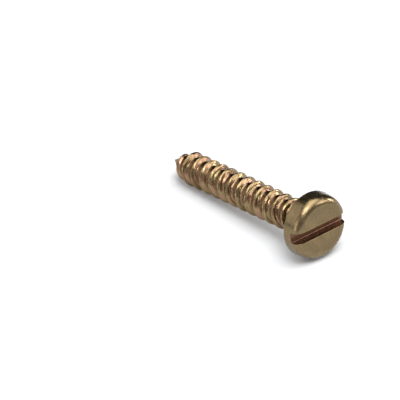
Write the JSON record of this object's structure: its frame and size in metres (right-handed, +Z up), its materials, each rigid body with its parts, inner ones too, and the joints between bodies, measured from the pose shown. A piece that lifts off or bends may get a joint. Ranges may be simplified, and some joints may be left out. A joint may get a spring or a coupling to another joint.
{
  "type": "slotted pan head wood screw",
  "caption": "Slotted pan head wood screw with a fully threaded shank and a gimlet point, yellow passivated steel.",
  "frame": {"origin": "centre of the flat bearing face under the head", "axes": "+X along the screw's axis from the point to the head; +Z up across the axis, as the screw lies down; the slot runs along Y"},
  "size_m": [0.0278, 0.008, 0.008],
  "materials": {
    "plated_steel": "bright zinc plate with yellow chromate passivation, thin and slightly iridescent"
  },
  "bodies": {
    "root": {"screw": "plated_steel"}
  },
  "joints": []
}
